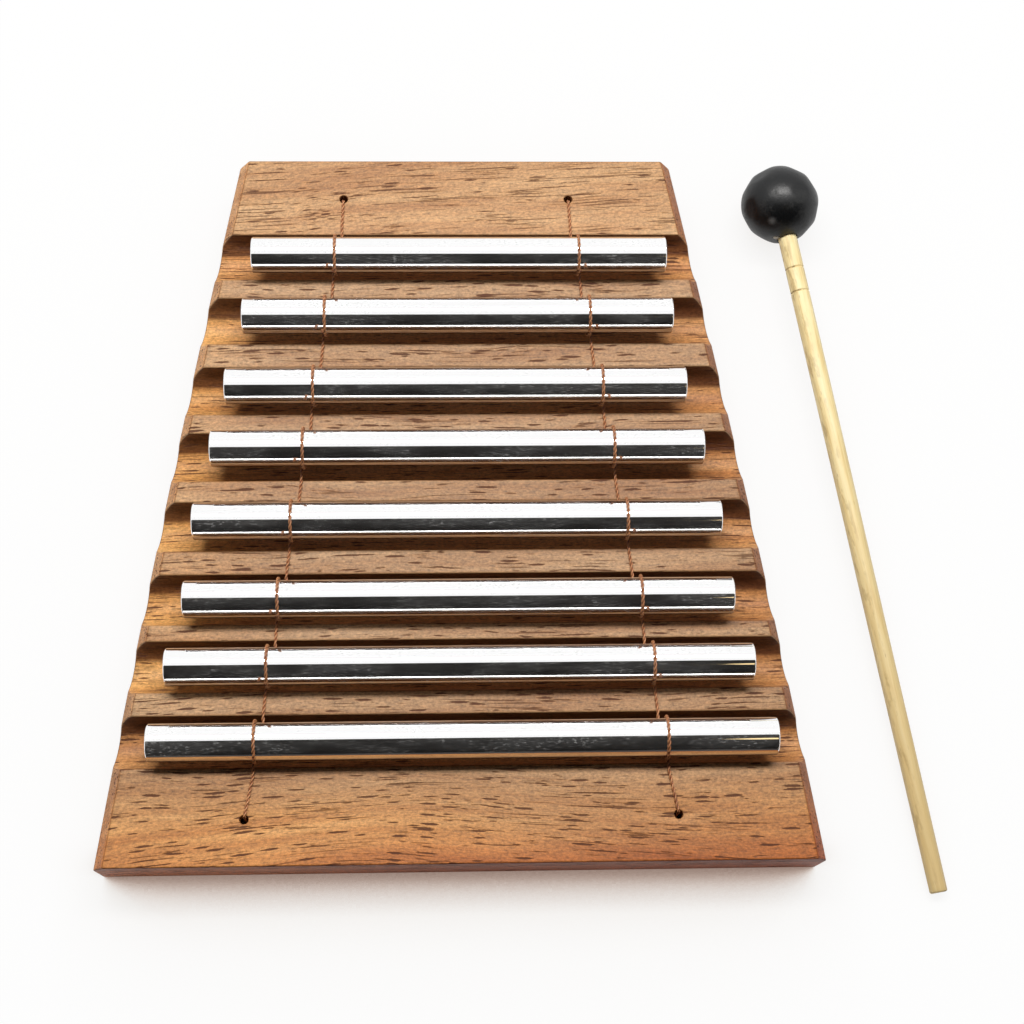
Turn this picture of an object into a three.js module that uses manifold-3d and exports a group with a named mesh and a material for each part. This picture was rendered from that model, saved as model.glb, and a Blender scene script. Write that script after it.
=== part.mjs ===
// Chime bar: eight polished metal bars slung on two cords across a grooved wooden board, and its mallet.
// Millimetres, +Z up. The origin is the middle of the board's underside, +Y points away from the player.
import * as THREE from "three";
import { mergeVertices } from "three/addons/utils/BufferGeometryUtils.js";
import Module from "manifold-3d";

const wasm = await Module();
wasm.setup();

// Bars: the longest sounds the lowest note, and a bar's pitch rises as its length squared falls.
const barDiameter = 10;
const longestBar = 164.6;
const barEndRound = 0.5;
const semitones = [12, 11, 9, 7, 5, 4, 2, 0];
const semitonesPerHalving = 24;
// Where each bar sits off the middle of its groove, and sideways, as shares of its diameter.
const barForwardShares = [0.155, 0.05, 0.04, -0.09, -0.01, 0.11, 0.105, 0.095];
const barSidewaysShares = [0.07, 0.02, -0.05, -0.02, -0.04, -0.02, 0, 0.06];

// Board
const boardThickness = 20.5;
const topWidthBack = 118.9;
const topWidthFront = 185.8;
// How far each side swells out of a straight taper, half way along.
const sideBulge = 1;
const backPad = 23;
const frontPad = 25.6;
const bevelRun = 3;
const bevelDrop = 4.8;
const edgeBreak = 0.4;

// Grooves: round-bottomed, with a rib left between each two.
const grooveRoom = 1.8;
const grooveWall = 0.7;
const ribWidth = 6.2;
// How far each groove strays towards the back from an even spacing, as shares of the rib width.
const grooveStrayShares = [-0.056, 0, -0.161, -0.081, -0.081, -0.177, 0.073, 0.024];

// Cords
const cordDiameter = 0.9;
const cordSpacingBack = 68.4;
const cordSpacingFront = 107.6;
const cordDipDepth = 1.6;
const arriveOffset = 1.6;
const leaveOffset = 0.7;
const cordBendRadius = 1.4;
const knotDiameter = 3.6;
const knotHeight = 3;
const knotTailLength = 0.8;

// Cord holes, each with a pocket for the knot on the underside.
const holeDiameter = 2.4;
const holeInset = 12.1;
const holeSpacingBack = 64.4;
const holeSpacingFront = 113.4;
const pocketDiameter = 7;
const pocketDepth = 5.5;

// Mallet: it lies beside the board, parallel to its slanted side, on its head and its butt.
const headDiameter = 22.6;
const socketDepth = 12;
const stickDiameterHead = 5.6;
const stickDiameterButt = 4.9;
const stickReach = 201.9;
const stickEndRound = 0.6;
const ringDistances = [9.2, 16.5];
const ringWidth = 0.7;
const ringDepth = 0.25;
const malletStandoff = 30.7;
const malletInset = 9.4;

// Clearances
const seatGap = 0.3;
const cutOverrun = 5;

// Numbers of facets and steps
const coveSteps = 7;
const sideSteps = 6;
const holeSides = 20;
const barSides = 40;
const roundSteps = 3;
const headSides = 36;
const stickSides = 24;
const cordSides = 6;
const loopSteps = 24;
const bendSteps = 5;
const knotSteps = 8;

// Worked-out sizes
const barCount = semitones.length;
const barRadius = barDiameter / 2;
const cordRadius = cordDiameter / 2;
const grooveWidth = barDiameter + 2 * grooveRoom;
const groovePitch = grooveWidth + ribWidth;
const boardLength = backPad + barCount * groovePitch - ribWidth + frontPad;
const backEdge = boardLength / 2;
const sideSlope = (topWidthFront - topWidthBack) / 2 / boardLength;
const wrapRadius = barRadius + seatGap + cordRadius;
const cordOnWood = boardThickness + seatGap + cordRadius;
const barHeight = cordOnWood - cordDipDepth + wrapRadius;

const evenPlace = (i) => backEdge - backPad - grooveWidth / 2 - i * groovePitch;
const groovePlace = (i) => evenPlace(i) + grooveStrayShares[i] * ribWidth;
const barLength = (i) => longestBar * 2 ** (-semitones[i] / semitonesPerHalving);
const barPlace = (i) => groovePlace(i) - barForwardShares[i] * barDiameter;
const halfTaper = (y) => topWidthBack / 2 + sideSlope * (backEdge - y);
const halfTop = (y) => halfTaper(y) + sideBulge * (1 - (y / backEdge) ** 2);

const finishes = {
  wood: { color: 0xa8622f, roughness: 0.5, metalness: 0 },
  polish: { color: 0xe8e9ec, roughness: 0.06, metalness: 1 },
  cord: { color: 0x9a4f33, roughness: 0.7, metalness: 0 },
  rubber: { color: 0x17181a, roughness: 0.45, metalness: 0 },
  stick: { color: 0xe2cfa0, roughness: 0.5, metalness: 0 },
};

function piece(name, geometry, finish) {
  const mesh = new THREE.Mesh(geometry, new THREE.MeshStandardMaterial(finishes[finish]));
  mesh.name = name;
  return mesh;
}

// A closed geometry as a solid: only its places are kept, with shared corners merged.
function solidOf(geometry) {
  geometry.deleteAttribute("normal");
  geometry.deleteAttribute("uv");
  const merged = mergeVertices(geometry);
  const vertProperties = merged.attributes.position.array;
  const triVerts = new Uint32Array(merged.index.array);
  return new wasm.Manifold(new wasm.Mesh({ numProp: 3, vertProperties, triVerts }));
}

function geometryOf(solid) {
  const { vertProperties, triVerts } = solid.getMesh();
  const geometry = new THREE.BufferGeometry();
  geometry.setAttribute("position", new THREE.BufferAttribute(vertProperties, 3));
  geometry.setIndex(new THREE.BufferAttribute(triVerts, 1));
  return geometry.toNonIndexed();
}

// A skin over rings of equally many points, closed at both ends. Rings run anticlockwise seen from
// the end that the skin goes to.
function loft(rings) {
  const sides = rings[0].length;
  const places = rings.flat().flatMap((p) => p.toArray());
  const faces = [];
  rings.slice(1).forEach((ring, r) => {
    ring.forEach((point, i) => {
      const a = r * sides + i;
      const b = r * sides + ((i + 1) % sides);
      faces.push(a, b, b + sides, a, b + sides, a + sides);
    });
  });
  const last = (rings.length - 1) * sides;
  for (let i = 1; i < sides - 1; i++) {
    faces.push(0, i + 1, i);
    faces.push(last, last + i, last + i + 1);
  }
  const geometry = new THREE.BufferGeometry();
  geometry.setAttribute("position", new THREE.Float32BufferAttribute(places, 3));
  geometry.setIndex(faces);
  return geometry;
}

// A round body turned about Z from a profile of [radius, height] pairs that rises from its foot.
function turned(profile, sides) {
  const points = profile.map(([radius, height]) => new THREE.Vector2(radius, height));
  return new THREE.LatheGeometry(points, sides).rotateX(Math.PI / 2);
}

// A quarter round from a face to a wall, as pairs of shares: out along the face, back from it.
function quarterRoundShares() {
  return Array.from({ length: roundSteps + 1 }, (_, k) => {
    const turn = ((k / roundSteps) * Math.PI) / 2;
    return [Math.sin(turn), 1 - Math.cos(turn)];
  });
}

// The board's outline from the side: a slab with all its grooves, run across the full width.
function groovedSlab() {
  const front = -backEdge;
  const width = topWidthFront + 2 * (bevelRun + cutOverrun);
  const outline = new THREE.Shape();
  outline.moveTo(front, 0);
  outline.lineTo(backEdge, 0);
  outline.lineTo(backEdge, boardThickness - edgeBreak);
  outline.lineTo(backEdge - edgeBreak, boardThickness);
  for (let i = 0; i < barCount; i++) {
    const middle = groovePlace(i);
    const radius = grooveWidth / 2;
    outline.lineTo(middle + radius + edgeBreak, boardThickness);
    outline.lineTo(middle + radius, boardThickness - edgeBreak);
    outline.absarc(middle, boardThickness - grooveWall, radius, 0, -Math.PI, true);
    outline.lineTo(middle - radius, boardThickness - edgeBreak);
    outline.lineTo(middle - radius - edgeBreak, boardThickness);
  }
  outline.lineTo(front + edgeBreak, boardThickness);
  outline.lineTo(front, boardThickness - edgeBreak);
  const slab = new THREE.ExtrudeGeometry(outline, {
    depth: width,
    bevelEnabled: false,
    curveSegments: coveSteps,
  });
  const alongX = new THREE.Matrix4().makeBasis(
    new THREE.Vector3(0, 1, 0),
    new THREE.Vector3(0, 0, 1),
    new THREE.Vector3(1, 0, 0),
  );
  return slab.applyMatrix4(alongX).translate(-width / 2, 0, 0);
}

// The board's plan: a taper towards the back with sides that swell a little, bevelled along both.
function taperedBlock() {
  const section = (y) => {
    const top = halfTop(y);
    const side = top + bevelRun;
    const corners = [
      [-side, 0],
      [side, 0],
      [side, boardThickness - bevelDrop],
      [top, boardThickness],
      [-top, boardThickness],
      [-side, boardThickness - bevelDrop],
    ];
    return corners.map(([x, z]) => new THREE.Vector3(x, y, z));
  };
  const places = Array.from({ length: sideSteps + 1 }, (_, k) => backEdge * (1 - (2 * k) / sideSteps));
  return loft(places.map(section));
}

// What is drilled away for one cord end: knot pocket, hole and broken mouth.
function cordHoleCut() {
  const mouth = holeDiameter / 2 + edgeBreak;
  const profile = [
    [0, -cutOverrun],
    [pocketDiameter / 2, -cutOverrun],
    [pocketDiameter / 2, pocketDepth],
    [holeDiameter / 2, pocketDepth],
    [holeDiameter / 2, boardThickness - edgeBreak],
    [mouth, boardThickness],
    [mouth, boardThickness + cutOverrun],
    [0, boardThickness + cutOverrun],
  ];
  return turned(profile, holeSides);
}

const holePlaces = [-1, 1].flatMap((side) => [
  [(side * holeSpacingBack) / 2, backEdge - holeInset],
  [(side * holeSpacingFront) / 2, holeInset - backEdge],
]);

function board() {
  let wood = solidOf(groovedSlab()).intersect(solidOf(taperedBlock()));
  for (const [x, y] of holePlaces) {
    wood = wood.subtract(solidOf(cordHoleCut().translate(x, y, 0)));
  }
  return piece("board", geometryOf(wood), "wood");
}

// One bar, its ends square with a small round to the edge, lying along X.
function bar(i) {
  const end = barLength(i) / 2;
  const round = quarterRoundShares().map(([out, back]) => [
    barRadius - barEndRound * (1 - out),
    end - barEndRound * back,
  ]);
  const foot = round.map(([radius, height]) => [radius, -height]);
  const profile = [[0, -end], ...foot, ...round.reverse(), [0, end]];
  const rod = piece(`bar_${i + 1}`, turned(profile, barSides), "polish");
  rod.rotation.y = Math.PI / 2;
  rod.position.set(barSidewaysShares[i] * barDiameter, barPlace(i), barHeight);
  return rod;
}

// The half distance between the cords where they cross over a bar.
function cordHalfSpread(y) {
  const share = (barPlace(0) - y) / (barPlace(0) - barPlace(barCount - 1));
  return (cordSpacingBack + share * (cordSpacingFront - cordSpacingBack)) / 2;
}

const ease = (share) => share * share * (3 - 2 * share);

// One round turn about a bar, in the bar's Y-Z plane: the cord arrives from the rib behind, passes
// under, up the front, over the top, down the back, under again and out to the rib in front. It
// moves outboard only while it is under the bar, so the two strands there lie side by side.
function roundTurn(i) {
  const middle = barPlace(i);
  const across = cordHalfSpread(middle);
  const drop = cordOnWood - barHeight;
  const backward = groovePlace(i) + grooveWidth / 2 - middle;
  const forward = groovePlace(i) - grooveWidth / 2 - middle;
  const touch = (run) => Math.acos(Math.min(1, wrapRadius / Math.hypot(run, drop)));
  const start = Math.atan2(drop, backward) - touch(backward);
  const stop = Math.atan2(drop, forward) + touch(forward) - 2 * Math.PI;
  const steps = Math.round(((start - stop) / (2 * Math.PI)) * loopSteps);
  const turn = Array.from({ length: steps + 1 }, (_, k) => {
    const angle = start + ((stop - start) * k) / steps;
    const arriving = Math.min(1, (start - angle) / (start + Math.PI));
    const leaving = Math.max(0, (angle + 2 * Math.PI) / (stop + 2 * Math.PI));
    return new THREE.Vector3(
      across - arriveOffset * (1 - ease(arriving)) + leaveOffset * ease(leaving),
      middle + wrapRadius * Math.cos(angle),
      barHeight + wrapRadius * Math.sin(angle),
    );
  });
  return [
    new THREE.Vector3(across - arriveOffset, middle + backward, cordOnWood),
    ...turn,
    new THREE.Vector3(across + leaveOffset, middle + forward, cordOnWood),
  ];
}

// A cord end, from its tail up through the knot and the hole and round onto the board towards a point.
function cordEnd(x, y, towards) {
  const ahead = new THREE.Vector2(towards.x - x, towards.y - y).normalize();
  const knotTop = pocketDepth - seatGap;
  const foot = knotTop - knotHeight;
  const knot = Array.from({ length: knotSteps + 1 }, (_, k) => {
    const share = k / knotSteps;
    const point = new THREE.Vector3(x, y, foot + share * knotHeight);
    const swell = (knotDiameter / 2) * Math.sin(share * Math.PI);
    return { point, radius: Math.max(cordRadius, swell) };
  });
  const bend = Array.from({ length: bendSteps + 1 }, (_, k) => {
    const angle = ((k / bendSteps) * Math.PI) / 2;
    const out = cordBendRadius * (1 - Math.cos(angle));
    const height = cordOnWood - cordBendRadius * (1 - Math.sin(angle));
    return { point: new THREE.Vector3(x + out * ahead.x, y + out * ahead.y, height), radius: cordRadius };
  });
  const tail = { point: new THREE.Vector3(x, y, foot - knotTailLength), radius: cordRadius };
  return [tail, ...knot, ...bend];
}

// The right-hand cord from its back knot to its front knot.
function cordRoute() {
  const turns = Array.from({ length: barCount }, (_, i) => roundTurn(i)).flat();
  const backEnd = cordEnd(holeSpacingBack / 2, backEdge - holeInset, turns[0]);
  const frontEnd = cordEnd(holeSpacingFront / 2, holeInset - backEdge, turns[turns.length - 1]);
  const middle = turns.map((point) => ({ point, radius: cordRadius }));
  return [...backEnd, ...middle, ...frontEnd.reverse()];
}

// The least distance between two stretches of the route that aren't neighbours, less the diameter.
function leastSelfGap(route) {
  const apart = wrapRadius;
  const slung = route.filter(({ point }) => point.z > boardThickness);
  let least = Infinity;
  slung.forEach(({ point }, i) => {
    let run = 0;
    for (let j = i + 1; j < slung.length; j++) {
      run += slung[j].point.distanceTo(slung[j - 1].point);
      if (run > apart) least = Math.min(least, slung[j].point.distanceTo(point));
    }
  });
  return least - cordDiameter;
}

// One unbroken tube along the route, its rings carried along without twist.
function cordTube(route) {
  const points = route.map(({ point }) => point);
  const side = new THREE.Vector3(1, 0, 0);
  const rings = points.map((point, k) => {
    const before = points[Math.max(0, k - 1)];
    const after = points[Math.min(points.length - 1, k + 1)];
    const into = point.clone().sub(before).normalize();
    const out = after.clone().sub(point).normalize();
    const along = into.add(out).normalize();
    side.addScaledVector(along, -side.dot(along)).normalize();
    const up = along.clone().cross(side);
    return Array.from({ length: cordSides }, (_, s) => {
      const turn = (s / cordSides) * 2 * Math.PI;
      const radius = route[k].radius;
      return point
        .clone()
        .addScaledVector(side, radius * Math.cos(turn))
        .addScaledVector(up, radius * Math.sin(turn));
    });
  });
  return loft(rings);
}

function cords() {
  const route = cordRoute();
  console.log(`least gap of a cord to itself: ${leastSelfGap(route).toFixed(2)} mm`);
  const mirrored = route.map(({ point, radius }) => ({
    point: new THREE.Vector3(-point.x, point.y, point.z),
    radius,
  }));
  return [piece("cord_right", cordTube(route), "cord"), piece("cord_left", cordTube(mirrored), "cord")];
}

// The ball: a turned rubber head with a blind socket, whose mouth faces along the stick.
function malletHead() {
  const radius = headDiameter / 2;
  const socket = stickDiameterHead / 2 + seatGap;
  const mouth = Math.acos(socket / radius);
  const rows = headSides / 2;
  const skin = Array.from({ length: rows + 1 }, (_, k) => {
    const angle = -Math.PI / 2 + ((mouth + Math.PI / 2) * k) / rows;
    return [radius * Math.cos(angle), radius * Math.sin(angle)];
  });
  const floor = radius - socketDepth;
  skin[0] = [0, -radius];
  return piece("mallet_head", turned([...skin, [socket, floor], [0, floor]], headSides), "rubber");
}

// The tapered stick, with its two scored rings below the head.
function malletStick() {
  const start = headDiameter / 2 - socketDepth + seatGap;
  const thickness = (height) => {
    const share = (height - start) / (stickReach - start);
    return (stickDiameterHead + share * (stickDiameterButt - stickDiameterHead)) / 2;
  };
  const rings = ringDistances.flatMap((distance) => {
    const place = headDiameter / 2 + distance;
    return [
      [thickness(place), place - ringWidth / 2],
      [thickness(place) - ringDepth, place],
      [thickness(place), place + ringWidth / 2],
    ];
  });
  const butt = thickness(stickReach);
  const end = quarterRoundShares()
    .map(([out, back]) => [butt - stickEndRound * (1 - out), stickReach - stickEndRound * back])
    .reverse();
  const profile = [[0, start], [thickness(start), start], ...rings, ...end, [0, stickReach]];
  return piece("mallet_stick", turned(profile, stickSides), "stick");
}

// The mallet's own frame has the head's middle as its origin and the stick along +Z.
function mallet() {
  const group = new THREE.Group();
  group.add(malletHead(), malletStick());
  const y = backEdge - malletInset;
  const splay = Math.atan(sideSlope);
  const x = halfTop(y) + bevelRun + malletStandoff / Math.cos(splay);
  const tilt = Math.asin((headDiameter - stickDiameterButt) / 2 / stickReach);
  const along = new THREE.Vector3(
    Math.sin(splay) * Math.cos(tilt),
    -Math.cos(splay) * Math.cos(tilt),
    -Math.sin(tilt),
  );
  group.position.set(x, y, headDiameter / 2);
  group.quaternion.setFromUnitVectors(new THREE.Vector3(0, 0, 1), along);
  return group;
}

const chime = new THREE.Group();
chime.add(board());
for (let i = 0; i < barCount; i++) chime.add(bar(i));
chime.add(...cords());
chime.add(mallet());

export default chime;
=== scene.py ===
"""A chime: eight polished bars slung on two cords across a grooved board, with its mallet beside it."""
import math

import bpy
import numpy as np
from mathutils import Matrix, Vector


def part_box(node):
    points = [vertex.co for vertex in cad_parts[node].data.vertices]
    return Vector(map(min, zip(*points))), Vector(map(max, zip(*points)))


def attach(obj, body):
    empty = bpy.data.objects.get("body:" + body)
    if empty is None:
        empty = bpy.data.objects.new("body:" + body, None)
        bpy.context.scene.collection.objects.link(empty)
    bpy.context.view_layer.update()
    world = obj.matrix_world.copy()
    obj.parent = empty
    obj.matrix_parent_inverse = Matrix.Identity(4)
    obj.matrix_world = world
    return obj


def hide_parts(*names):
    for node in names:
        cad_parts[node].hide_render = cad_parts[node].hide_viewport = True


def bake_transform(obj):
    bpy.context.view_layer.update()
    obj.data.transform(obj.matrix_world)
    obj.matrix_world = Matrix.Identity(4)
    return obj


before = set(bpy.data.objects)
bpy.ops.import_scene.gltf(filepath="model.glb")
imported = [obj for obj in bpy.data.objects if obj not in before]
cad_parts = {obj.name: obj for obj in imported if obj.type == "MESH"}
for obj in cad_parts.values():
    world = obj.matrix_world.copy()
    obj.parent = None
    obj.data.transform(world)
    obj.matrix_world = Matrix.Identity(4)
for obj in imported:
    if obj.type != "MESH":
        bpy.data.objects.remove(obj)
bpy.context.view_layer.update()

# The board
# One plank of open-pored reddish hardwood with its grain from side to side, oiled to a satin shine. It is
# sawn to a taper, bevelled along both slanted sides, and milled across with a round-nosed cutter, one
# groove for each bar. Four small holes take the cord ends, with pockets underneath for their knots.

MM = 0.001
BARS = sorted(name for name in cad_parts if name.startswith("bar_"))
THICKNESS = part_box("board")[1].z
HALF_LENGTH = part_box("board")[1].y
BEVEL_RUN = 3 * MM
BEVEL_DROP = 4.8 * MM
HALF_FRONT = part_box("board")[1].x - BEVEL_RUN
HALF_BACK = 59.45 * MM
SIDE_SLOPE = (HALF_FRONT - HALF_BACK) / (2 * HALF_LENGTH)
SIDE_BULGE = 1 * MM
BACK_PAD = 23 * MM
RIB = 6.2 * MM
COVE = 6.8 * MM
COVE_HEIGHT = THICKNESS - 0.7 * MM
COVE_DRAFT = math.radians(3)
EDGE_ROUND = 0.45 * MM
HOLE_INSET = 12.1 * MM
HOLE_SPREAD_BACK = 32.2 * MM
HOLE_SPREAD_FRONT = 56.7 * MM
GROOVE_STRAYS = RIB * np.array([-0.056, 0, -0.161, -0.081, -0.081, -0.177, 0.073, 0.024])
GROOVES = HALF_LENGTH - BACK_PAD - COVE - (2 * COVE + RIB) * np.arange(len(BARS)) + GROOVE_STRAYS


def half_top(y):
    """Half the width of the board's top at a place along it: a taper whose sides swell a little."""
    return HALF_BACK + SIDE_SLOPE * (HALF_LENGTH - y) + SIDE_BULGE * (1 - (y / HALF_LENGTH) ** 2)


def skin_depths(points):
    """Signed distances from points to the board's planes, bevels and nearest groove, positive outside."""
    x, y, z = np.abs(points[:, 0]), points[:, 1], points[:, 2]
    middle = GROOVES[np.abs(y[:, None] - GROOVES).argmin(axis=1)]
    across = np.abs(y - middle)
    up = z - COVE_HEIGHT
    on_wall = up * math.cos(COVE_DRAFT) + across * math.sin(COVE_DRAFT) > 0
    wall = across * math.cos(COVE_DRAFT) - up * math.sin(COVE_DRAFT)
    cove = np.where(on_wall, wall, np.hypot(across, up)) - COVE
    lean = BEVEL_RUN / BEVEL_DROP
    return np.stack([
        z - THICKNESS,
        -z,
        np.abs(y) - HALF_LENGTH,
        (x - half_top(y) - BEVEL_RUN) / math.hypot(1, SIDE_SLOPE),
        (x - half_top(y) - (THICKNESS - z) * lean) / math.hypot(1, SIDE_SLOPE, lean),
        -cove,
    ])


def board_distance(points):
    """Distance to the board's skin: the largest of the single distances, and within a round's reach of an
    edge the length of those that reach past it, less the round."""
    reach = skin_depths(points) + EDGE_ROUND
    past = np.linalg.norm(np.maximum(reach, 0), axis=0)
    return past + np.minimum(reach.max(axis=0), 0) - EDGE_ROUND


def settled(points, rounds=6):
    """Points moved onto the board's skin along the slope of the distance, a few times over."""
    step = 1e-3 * MM
    for _ in range(rounds):
        here = board_distance(points)
        slope = np.stack([
            (board_distance(points + step * axis) - board_distance(points - step * axis)) / (2 * step)
            for axis in np.eye(3)
        ], axis=1)
        points = points - slope * (here / np.maximum((slope**2).sum(axis=1), 0.25))[:, None]
    return points


def grid_faces(rows, columns):
    """Four-sided faces of a grid of points that is numbered row by row."""
    first = (np.arange(rows - 1)[:, None] * columns + np.arange(columns - 1)).ravel()
    return np.stack([first, first + 1, first + columns + 1, first + columns], axis=1)


def joined(skins):
    """One closed mesh from grids of points that share their borders, as points and faces."""
    points, faces, start = [], [], 0
    for skin in skins:
        rows, columns, _ = skin.shape
        points.append(skin.reshape(-1, 3))
        faces.append(grid_faces(rows, columns) + start)
        start += rows * columns
    points = np.vstack(points)
    rounded = np.round(points / (1e-4 * MM))
    _, kept, renumbered = np.unique(rounded, axis=0, return_index=True, return_inverse=True)
    return points[kept], renumbered.reshape(-1)[np.vstack(faces)]


def add_piece(name, points, faces, material, crease=50):
    """A smooth-shaded mesh at the origin, sharp where its faces meet at more than the crease angle."""
    mesh = bpy.data.meshes.new(name)
    mesh.from_pydata(points.tolist(), [], [list(face) for face in faces])
    mesh.polygons.foreach_set("use_smooth", np.ones(len(mesh.polygons), bool))
    mesh.set_sharp_from_angle(angle=math.radians(crease))
    mesh.materials.append(material)
    piece = bpy.data.objects.new(name, mesh)
    bpy.context.scene.collection.objects.link(piece)
    return piece


def board_skins():
    """The board as grids before its edges are rounded: its outline seen from the side, carried across to
    each slanted side, with lines close together beside every edge."""
    near = np.array([0, 0.08, 0.17, 0.28, 0.42, 0.7]) * MM
    heights = THICKNESS - COVE_HEIGHT - near[:-1]
    wall = np.stack([(COVE + heights * math.sin(COVE_DRAFT)) / math.cos(COVE_DRAFT), COVE_HEIGHT + heights])
    turn = np.linspace(-COVE_DRAFT, -math.pi / 2, 12)
    half = np.hstack([wall, np.stack([COVE * np.cos(turn), COVE_HEIGHT + COVE * np.sin(turn)])])
    mouth = wall[0, 0]

    def flat(back, front):
        inner = np.linspace(back - near[-1], front + near[-1], 5)[1:-1]
        y = np.concatenate([back - near, inner, (front + near)[::-1]])
        return np.stack([y, np.full(len(y), THICKNESS)])

    runs, back = [], HALF_LENGTH
    for middle in GROOVES:
        runs.append(flat(back, middle + mouth))
        down = half[:, 1:] * [[1], [1]] + [[middle], [0]]
        rise = half[:, -2:0:-1] * [[-1], [1]] + [[middle], [0]]
        runs += [down, rise]
        back = middle - mouth
    runs.append(flat(back, -HALF_LENGTH))
    y, top = np.hstack(runs)

    def half_width(y, z):
        return half_top(y) + BEVEL_RUN * np.minimum(1, (THICKNESS - z) / BEVEL_DROP)

    inset = np.concatenate([near, np.array([2, 5, 12, 22, 34, 46]) * MM])
    shoulder = THICKNESS - BEVEL_DROP
    levels = np.concatenate([shoulder + near[::-1], shoulder - near[1:], [9 * MM, 3 * MM], near[::-1]])
    thin = 0.004 * MM * np.arange(1, len(levels) + 1)
    rows = np.minimum(levels, (top[:, None] - near[-1]) - thin)
    rows[:, -1] = 0
    rows = np.hstack([top[:, None] - near, rows])

    def across(y, z):
        """Rows of points from the left side to the right, at the places y and heights z."""
        right = half_width(y, z)[:, None] - inset
        x = np.hstack([-right, np.zeros((len(y), 1)), right[:, ::-1]])
        spread = np.ones(x.shape[1])
        return np.stack([x, np.outer(y, spread), np.outer(z, spread)], axis=2)

    def side(sign):
        spread = np.outer(y, np.ones(rows.shape[1]))
        return np.stack([sign * half_width(spread, rows), spread, rows], axis=2)

    def end(column):
        return across(np.full(rows.shape[1], y[column]), rows[column])

    return [
        across(y, top)[::-1],
        across(y, np.zeros(len(y))),
        side(1)[::-1],
        side(-1),
        end(0),
        end(-1)[::-1],
    ]


def rings_mesh(rings):
    """A closed skin over rings of points, each anticlockwise seen from the end that the skin goes to."""
    count, sides, _ = rings.shape
    around = np.concatenate([rings, rings[:, :1]], axis=1)
    faces = grid_faces(count, sides + 1)
    numbers = np.arange(count * (sides + 1))
    numbers = numbers // (sides + 1) * sides + numbers % (sides + 1) % sides
    faces = numbers[faces]
    last = (count - 1) * sides
    caps = [list(range(sides - 1, -1, -1)), list(range(last, last + sides))]
    return around[:, :-1].reshape(-1, 3), faces.tolist() + caps


def turned(profile, start, along, sides):
    """Rings of a body of revolution: pairs of radius and distance, turned about an axis from its start."""
    axis = np.array(along, float) / np.linalg.norm(along)
    helper = np.eye(3)[np.abs(axis).argmin()]
    side = np.cross(helper, axis)
    side /= np.linalg.norm(side)
    up = np.cross(axis, side)
    angle = np.linspace(0, 2 * math.pi, sides, endpoint=False)
    around = np.outer(np.cos(angle), side) + np.outer(np.sin(angle), up)
    radius, distance = np.array(profile, float).T
    return np.array(start) + distance[:, None, None] * axis + radius[:, None, None] * around


def cord_holes():
    """The four holes as one cutter: knot pocket, hole, and a mouth worn round where the cord leaves it."""
    hole, pocket, mouth = 1.15 * MM, 3.5 * MM, 0.35 * MM
    pocket_depth, over, sides = 5.5 * MM, 1 * MM, 32
    turn = np.linspace(0, math.pi / 2, 6)
    worn = np.stack([hole + mouth * (1 - np.cos(turn)), THICKNESS - mouth * (1 - np.sin(turn))], axis=1)
    profile = np.vstack([
        [[1e-3 * MM, -over], [pocket, -over], [pocket, pocket_depth], [hole, pocket_depth]],
        worn,
        [[hole + mouth, THICKNESS + over], [1e-3 * MM, THICKNESS + over]],
    ])
    points, faces = [], []
    for side in (-1, 1):
        for spread, end in ((HOLE_SPREAD_BACK, 1), (HOLE_SPREAD_FRONT, -1)):
            foot = (side * spread, end * (HALF_LENGTH - HOLE_INSET), 0)
            solid, skin = rings_mesh(turned(profile, foot, (0, 0, 1), sides))
            faces += [[corner + len(points) for corner in face] for face in skin]
            points += solid.tolist()
    return np.array(points), faces


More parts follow.
